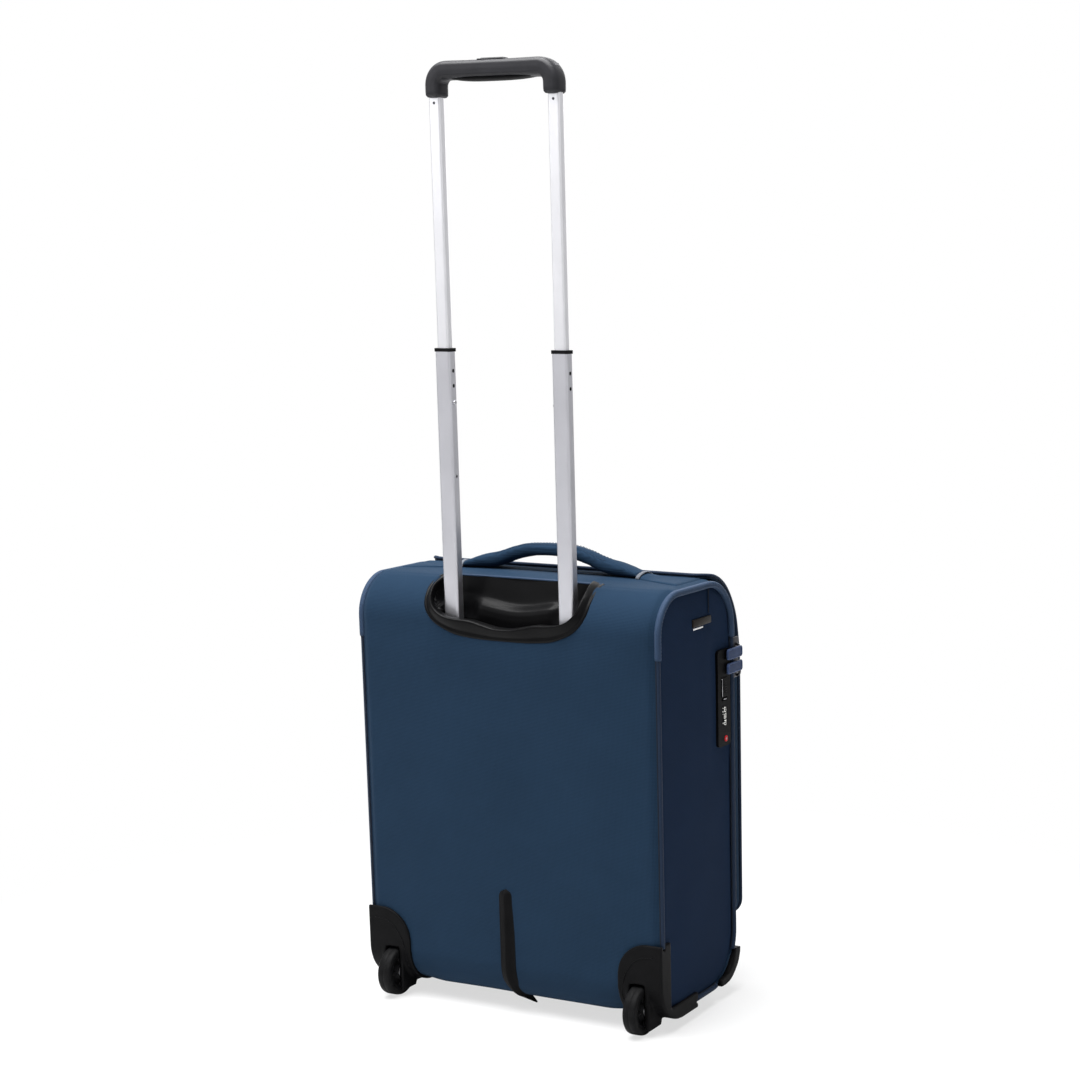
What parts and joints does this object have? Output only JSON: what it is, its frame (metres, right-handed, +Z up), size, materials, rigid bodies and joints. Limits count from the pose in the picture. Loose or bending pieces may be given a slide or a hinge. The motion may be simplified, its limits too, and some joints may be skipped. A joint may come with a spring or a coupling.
{
  "type": "softside upright suitcase",
  "caption": "Softside upright cabin suitcase with a two-stage telescopic handle, two inline wheels, zipped front lid, dial lock and padded carry handle.",
  "frame": {"origin": "on the floor under the middle of the case", "axes": "+X to the right seen from the front, -Y towards the lid (front), +Z up"},
  "size_m": [0.4082, 0.2465, 1.0935],
  "materials": {
    "navy_fabric": "woven polyester, fine diagonal weave",
    "piping": "corded edge in smooth woven tape",
    "webbing": "ribbed webbing",
    "lining": "plain polyester lining",
    "board": "plain polypropylene sheet",
    "black_plastic": "fine moulded grain",
    "grip_plastic": "smooth moulded grip",
    "aluminium": "satin anodised",
    "steel": "bright steel",
    "dark_steel": "dark painted zinc",
    "puller": "blue painted zinc",
    "tyre": "smooth hard rubber",
    "zip": "coil zip on woven tape",
    "tag_metal": "dark plate with a bright lower edge",
    "dial": "black dials with pale digits",
    "key_red": "red ring round a keyhole"
  },
  "bodies": {
    "case": {"case_shell": "navy_fabric", "side_piping": "piping", "back_board": "board", "side_boards": "board", "lining_tub": "lining", "packing_straps": "webbing", "strap_buckle": "black_plastic", "case_screws": "steel", "handle_cup": "black_plastic", "outer_tubes": "aluminium", "outer_tube_guides": "black_plastic", "tube_base": "black_plastic", "wheel_housing_left": "black_plastic", "wheel_housing_right": "black_plastic", "wheel_axles": "steel", "front_foot_left": "black_plastic", "front_foot_right": "black_plastic", "skid_strip": "black_plastic", "lock_housing": "black_plastic", "dial_axle": "steel", "side_tag": "tag_metal", "zip_chain_case": "zip", "handle_anchor_pads": "navy_fabric", "lid_hinge_gusset": "navy_fabric"},
    "mid_stage": {"mid_tube_left": "aluminium", "mid_tube_right": "aluminium", "mid_tube_collars": "black_plastic", "mid_tube_plugs": "black_plastic", "mid_lock_springs": "steel", "mid_tube_guides": "black_plastic"},
    "handle": {"inner_tube_left": "aluminium", "inner_tube_right": "aluminium", "grip_shell": "grip_plastic", "grip_insert": "black_plastic", "grip_rivets": "dark_steel", "inner_lock_springs": "steel", "inner_tube_guides": "black_plastic"},
    "release": {"grip_button": "grip_plastic", "release_rods": "steel"},
    "wheel_left": {"tyre_left": "tyre", "wheel_hub_left": "black_plastic", "wheel_bearings_left": "steel"},
    "wheel_right": {"tyre_right": "tyre", "wheel_hub_right": "black_plastic", "wheel_bearings_right": "steel"},
    "lid": {"lid_panel": "navy_fabric", "front_pocket": "navy_fabric", "zip_chain_lid": "zip", "lid_lining": "lining"},
    "pocket_zip": {"pocket_slider": "dark_steel"},
    "upper_slider": {"zip_slider_upper": "dark_steel"},
    "upper_puller": {"zip_puller_upper": "puller"},
    "lower_slider": {"zip_slider_lower": "dark_steel"},
    "lower_puller": {"zip_puller_lower": "puller"},
    "first_dial": {"dial_1": "dial"},
    "second_dial": {"dial_2": "dial"},
    "third_dial": {"dial_3": "dial"},
    "lock_button": {"lock_release": "black_plastic"},
    "key_plug": {"key_cylinder": "key_red"},
    "top_handle": {"carry_handle": "navy_fabric"}
  },
  "joints": [
    {"name": "mid_stage_slide", "type": "slide", "parent": "case", "child": "mid_stage", "axis": [0, 0, 1], "range_m": [-0.303, 0], "deforming": ["mid_lock_springs"]},
    {"name": "handle_slide", "type": "slide", "parent": "mid_stage", "child": "handle", "axis": [0, 0, 1], "range_m": [-0.272, 0], "deforming": ["inner_lock_springs"]},
    {"name": "release_press", "type": "slide", "parent": "handle", "child": "release", "axis": [0, 0, -1], "range_m": [0, 0.003], "stiffness_N_per_m": 600},
    {"name": "wheel_left_spin", "type": "hinge", "parent": "case", "child": "wheel_left", "pos_m": [-0.1695, 0.091, 0.0295], "axis": [1, 0, 0], "continuous": true},
    {"name": "wheel_right_spin", "type": "hinge", "parent": "case", "child": "wheel_right", "pos_m": [0.1695, 0.091, 0.0295], "axis": [1, 0, 0], "continuous": true},
    {"name": "lid_hinge", "type": "hinge", "parent": "case", "child": "lid", "pos_m": [0.1985, -0.104, 0.275], "axis": [0, 0, 1], "range_deg": [0, 175], "deforming": ["lid_hinge_gusset"]},
    {"name": "pocket_zip_slide", "type": "slide", "parent": "lid", "child": "pocket_zip", "axis": [1, 0, 0], "range_m": [0, 0.28]},
    {"name": "upper_slider_slide", "type": "slide", "parent": "case", "child": "upper_slider", "axis": [0, 0, 1], "range_m": [0, 0.012]},
    {"name": "upper_puller_flip", "type": "hinge", "parent": "upper_slider", "child": "upper_puller", "pos_m": [-0.2006, -0.1026, 0.4195], "axis": [0, 0, 1], "range_deg": [0, 130]},
    {"name": "lower_slider_slide", "type": "slide", "parent": "case", "child": "lower_slider", "axis": [0, 0, -1], "range_m": [0, 0.28]},
    {"name": "lower_puller_flip", "type": "hinge", "parent": "lower_slider", "child": "lower_puller", "pos_m": [-0.2006, -0.1026, 0.4025], "axis": [0, 0, 1], "range_deg": [0, 130]},
    {"name": "dial_1_turn", "type": "hinge", "parent": "case", "child": "first_dial", "pos_m": [-0.1933, -0.0625, 0.355], "axis": [0, 0, 1], "continuous": true},
    {"name": "dial_2_turn", "type": "hinge", "parent": "case", "child": "second_dial", "pos_m": [-0.1933, -0.0625, 0.3472], "axis": [0, 0, 1], "continuous": true},
    {"name": "dial_3_turn", "type": "hinge", "parent": "case", "child": "third_dial", "pos_m": [-0.1933, -0.0625, 0.3394], "axis": [0, 0, 1], "continuous": true},
    {"name": "lock_button_slide", "type": "slide", "parent": "case", "child": "lock_button", "axis": [0, 0, -1], "range_m": [0, 0.004]},
    {"name": "key_turn", "type": "hinge", "parent": "case", "child": "key_plug", "pos_m": [-0.2, -0.066, 0.3195], "axis": [-1, 0, 0], "range_deg": [0, 90]},
    {"name": "carry_handle_tilt", "type": "hinge", "parent": "case", "child": "top_handle", "pos_m": [0, -0.015, 0.517], "axis": [1, 0, 0], "range_deg": [-15, 15]}
  ]
}
